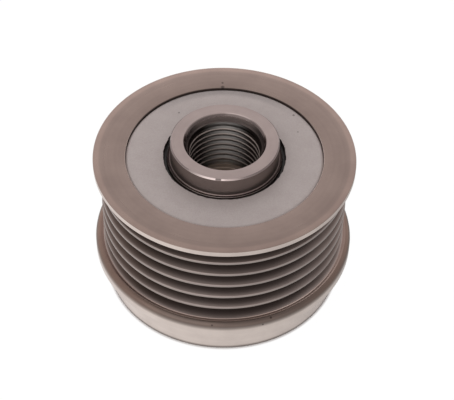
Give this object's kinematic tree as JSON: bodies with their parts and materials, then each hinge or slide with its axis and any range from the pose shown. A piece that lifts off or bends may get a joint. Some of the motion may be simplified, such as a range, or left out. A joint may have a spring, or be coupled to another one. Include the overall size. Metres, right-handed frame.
{
  "type": "alternator pulley",
  "caption": "Overrunning alternator pulley: a ribbed-belt ring on ball bearings and a roller clutch round a threaded hub.",
  "frame": {"origin": "centre of the front collar's face, on which the pulley stands", "axes": "+Z along the axis of rotation, from the front collar towards the alternator side"},
  "size_m": [0.058, 0.058, 0.0381],
  "materials": {
    "turned_steel": "fine-turned, matte, slightly brown",
    "hub_steel": "fine-turned, matte",
    "disc_grey": "matte grey phosphate coat",
    "seal_rubber": "matte",
    "bearing_steel": "ground",
    "ball_steel": "polished",
    "cage_polymer": "natural",
    "clutch_polymer": "matte",
    "spring_steel": "rolled"
  },
  "bodies": {
    "pulley": {"pulley_ring": "turned_steel", "rear_seal_disc": "disc_grey", "rear_seal_lip": "seal_rubber", "front_seal_disc": "disc_grey", "front_seal_lip": "seal_rubber", "rear_bearing_outer_ring": "bearing_steel", "rear_bearing_outboard_seal": "seal_rubber", "rear_bearing_inboard_seal": "seal_rubber", "front_bearing_outer_ring": "bearing_steel", "front_bearing_outboard_seal": "seal_rubber", "front_bearing_inboard_seal": "seal_rubber", "clutch_sleeve": "bearing_steel"},
    "hub": {"hub": "hub_steel", "rear_bearing_inner_ring": "bearing_steel", "front_bearing_inner_ring": "bearing_steel", "clutch_cam_ring": "bearing_steel", "clutch_rollers": "ball_steel", "clutch_cage": "clutch_polymer", "clutch_springs": "spring_steel"},
    "rear_ball_set": {"rear_bearing_balls": "ball_steel", "rear_bearing_cage": "cage_polymer"},
    "front_ball_set": {"front_bearing_balls": "ball_steel", "front_bearing_cage": "cage_polymer"}
  },
  "joints": [
    {"name": "hub_spin", "type": "hinge", "parent": "pulley", "child": "hub", "pos_m": [0, 0, 0.01905], "axis": [0, 0, 1], "continuous": true},
    {"name": "rear_ball_orbit", "type": "hinge", "parent": "pulley", "child": "rear_ball_set", "pos_m": [0, 0, 0.0274], "axis": [0, 0, 1], "continuous": true},
    {"name": "front_ball_orbit", "type": "hinge", "parent": "pulley", "child": "front_ball_set", "pos_m": [0, 0, 0.0084], "axis": [0, 0, 1], "continuous": true}
  ],
  "couplings": [
    {"joint": "rear_ball_orbit", "follows": "hub_spin", "ratio": 0.42895},
    {"joint": "front_ball_orbit", "follows": "hub_spin", "ratio": 0.42895}
  ]
}
